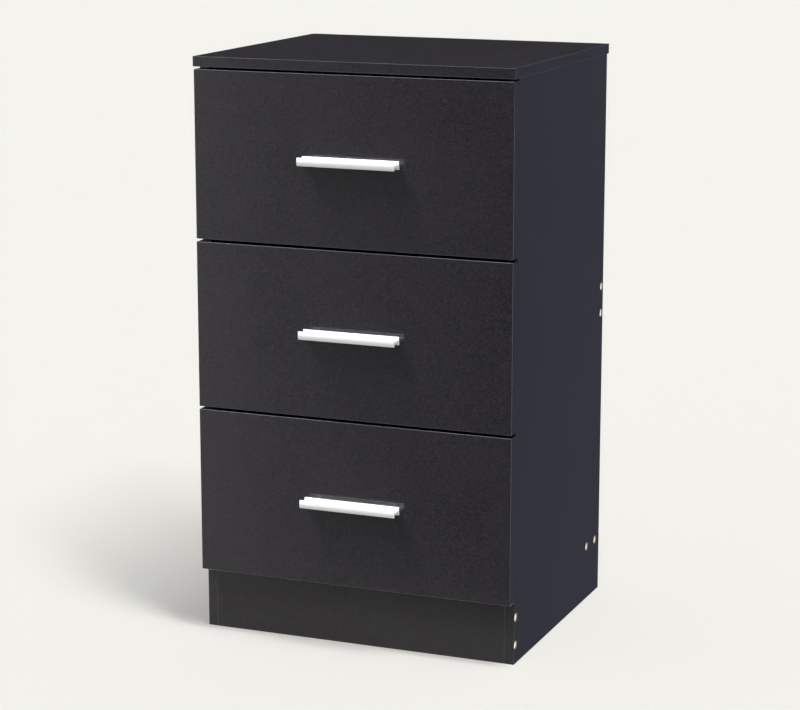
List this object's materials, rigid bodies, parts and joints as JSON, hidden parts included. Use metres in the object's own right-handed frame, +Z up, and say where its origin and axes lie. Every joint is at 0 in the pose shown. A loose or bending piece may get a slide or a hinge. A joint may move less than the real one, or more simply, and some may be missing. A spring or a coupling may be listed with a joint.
{
  "type": "nightstand",
  "caption": "Black laminated nightstand with full-width drawers on roller runners, silver bar pulls, an overlay top and a recessed plinth.",
  "frame": {"origin": "on the floor, under the middle of the whole piece with its pulls", "axes": "+Z up, -Y out of the drawer fronts, +X to the right of someone who faces the drawers"},
  "size_m": [0.4, 0.362, 0.7],
  "materials": {
    "board": "satin black laminate with a fine pearl texture",
    "hardboard": "dark painted hardboard",
    "pull": "satin silver",
    "fastener": "zinc plated",
    "runner": "black epoxy coating",
    "roller": "natural nylon",
    "dowel": "fluted beech"
  },
  "bodies": {
    "cabinet": {"top_panel": "board", "side_panel_left": "board", "side_panel_right": "board", "kick_board": "board", "back_rail_middle": "board", "back_rail_bottom": "board", "back_panel": "hardboard", "carcass_screws": "fastener", "top_cam_fittings": "fastener", "top_dowels": "dowel", "back_panel_nails": "fastener", "cabinet_runner_top_left": "runner", "cabinet_runner_top_right": "runner", "cabinet_runner_middle_left": "runner", "cabinet_runner_middle_right": "runner", "cabinet_runner_bottom_left": "runner", "cabinet_runner_bottom_right": "runner", "cabinet_runner_screws": "fastener"},
    "drawer_top": {"drawer_front_top": "board", "drawer_side_left_top": "board", "drawer_side_right_top": "board", "drawer_back_top": "board", "drawer_base_top": "hardboard", "pull_top": "pull", "pull_screws_top": "fastener", "drawer_runner_left_top": "runner", "drawer_runner_right_top": "runner", "drawer_runner_screws_top": "fastener", "drawer_screws_top": "fastener", "front_cam_fittings_top": "fastener"},
    "drawer_middle": {"drawer_front_middle": "board", "drawer_side_left_middle": "board", "drawer_side_right_middle": "board", "drawer_back_middle": "board", "drawer_base_middle": "hardboard", "pull_middle": "pull", "pull_screws_middle": "fastener", "drawer_runner_left_middle": "runner", "drawer_runner_right_middle": "runner", "drawer_runner_screws_middle": "fastener", "drawer_screws_middle": "fastener", "front_cam_fittings_middle": "fastener"},
    "drawer_bottom": {"drawer_front_bottom": "board", "drawer_side_left_bottom": "board", "drawer_side_right_bottom": "board", "drawer_back_bottom": "board", "drawer_base_bottom": "hardboard", "pull_bottom": "pull", "pull_screws_bottom": "fastener", "drawer_runner_left_bottom": "runner", "drawer_runner_right_bottom": "runner", "drawer_runner_screws_bottom": "fastener", "drawer_screws_bottom": "fastener", "front_cam_fittings_bottom": "fastener"},
    "front_rollers_top": {"front_rollers_top": "roller"},
    "rear_rollers_top": {"rear_rollers_top": "roller"},
    "front_rollers_middle": {"front_rollers_middle": "roller"},
    "rear_rollers_middle": {"rear_rollers_middle": "roller"},
    "front_rollers_bottom": {"front_rollers_bottom": "roller"},
    "rear_rollers_bottom": {"rear_rollers_bottom": "roller"}
  },
  "joints": [
    {"name": "top_drawer_slide", "type": "slide", "parent": "cabinet", "child": "drawer_top", "axis": [0, -1, 0], "range_m": [0, 0.24]},
    {"name": "middle_drawer_slide", "type": "slide", "parent": "cabinet", "child": "drawer_middle", "axis": [0, -1, 0], "range_m": [0, 0.24]},
    {"name": "bottom_drawer_slide", "type": "slide", "parent": "cabinet", "child": "drawer_bottom", "axis": [0, -1, 0], "range_m": [0, 0.24]},
    {"name": "top_front_rollers_turn", "type": "hinge", "parent": "cabinet", "child": "front_rollers_top", "pos_m": [0, -0.132, 0.5175], "axis": [1, 0, 0], "range_deg": [0, 1450]},
    {"name": "top_rear_rollers_turn", "type": "hinge", "parent": "drawer_top", "child": "rear_rollers_top", "pos_m": [0, 0.137, 0.5155], "axis": [1, 0, 0], "range_deg": [0, 1450]},
    {"name": "middle_front_rollers_turn", "type": "hinge", "parent": "cabinet", "child": "front_rollers_middle", "pos_m": [0, -0.132, 0.3135], "axis": [1, 0, 0], "range_deg": [0, 1450]},
    {"name": "middle_rear_rollers_turn", "type": "hinge", "parent": "drawer_middle", "child": "rear_rollers_middle", "pos_m": [0, 0.137, 0.3115], "axis": [1, 0, 0], "range_deg": [0, 1450]},
    {"name": "bottom_front_rollers_turn", "type": "hinge", "parent": "cabinet", "child": "front_rollers_bottom", "pos_m": [0, -0.132, 0.1095], "axis": [1, 0, 0], "range_deg": [0, 1450]},
    {"name": "bottom_rear_rollers_turn", "type": "hinge", "parent": "drawer_bottom", "child": "rear_rollers_bottom", "pos_m": [0, 0.137, 0.1075], "axis": [1, 0, 0], "range_deg": [0, 1450]}
  ],
  "couplings": [
    {"joint": "top_front_rollers_turn", "follows": "top_drawer_slide", "rad_per_m": 105.26},
    {"joint": "top_rear_rollers_turn", "follows": "top_drawer_slide", "rad_per_m": 105.26},
    {"joint": "middle_front_rollers_turn", "follows": "middle_drawer_slide", "rad_per_m": 105.26},
    {"joint": "middle_rear_rollers_turn", "follows": "middle_drawer_slide", "rad_per_m": 105.26},
    {"joint": "bottom_front_rollers_turn", "follows": "bottom_drawer_slide", "rad_per_m": 105.26},
    {"joint": "bottom_rear_rollers_turn", "follows": "bottom_drawer_slide", "rad_per_m": 105.26}
  ]
}
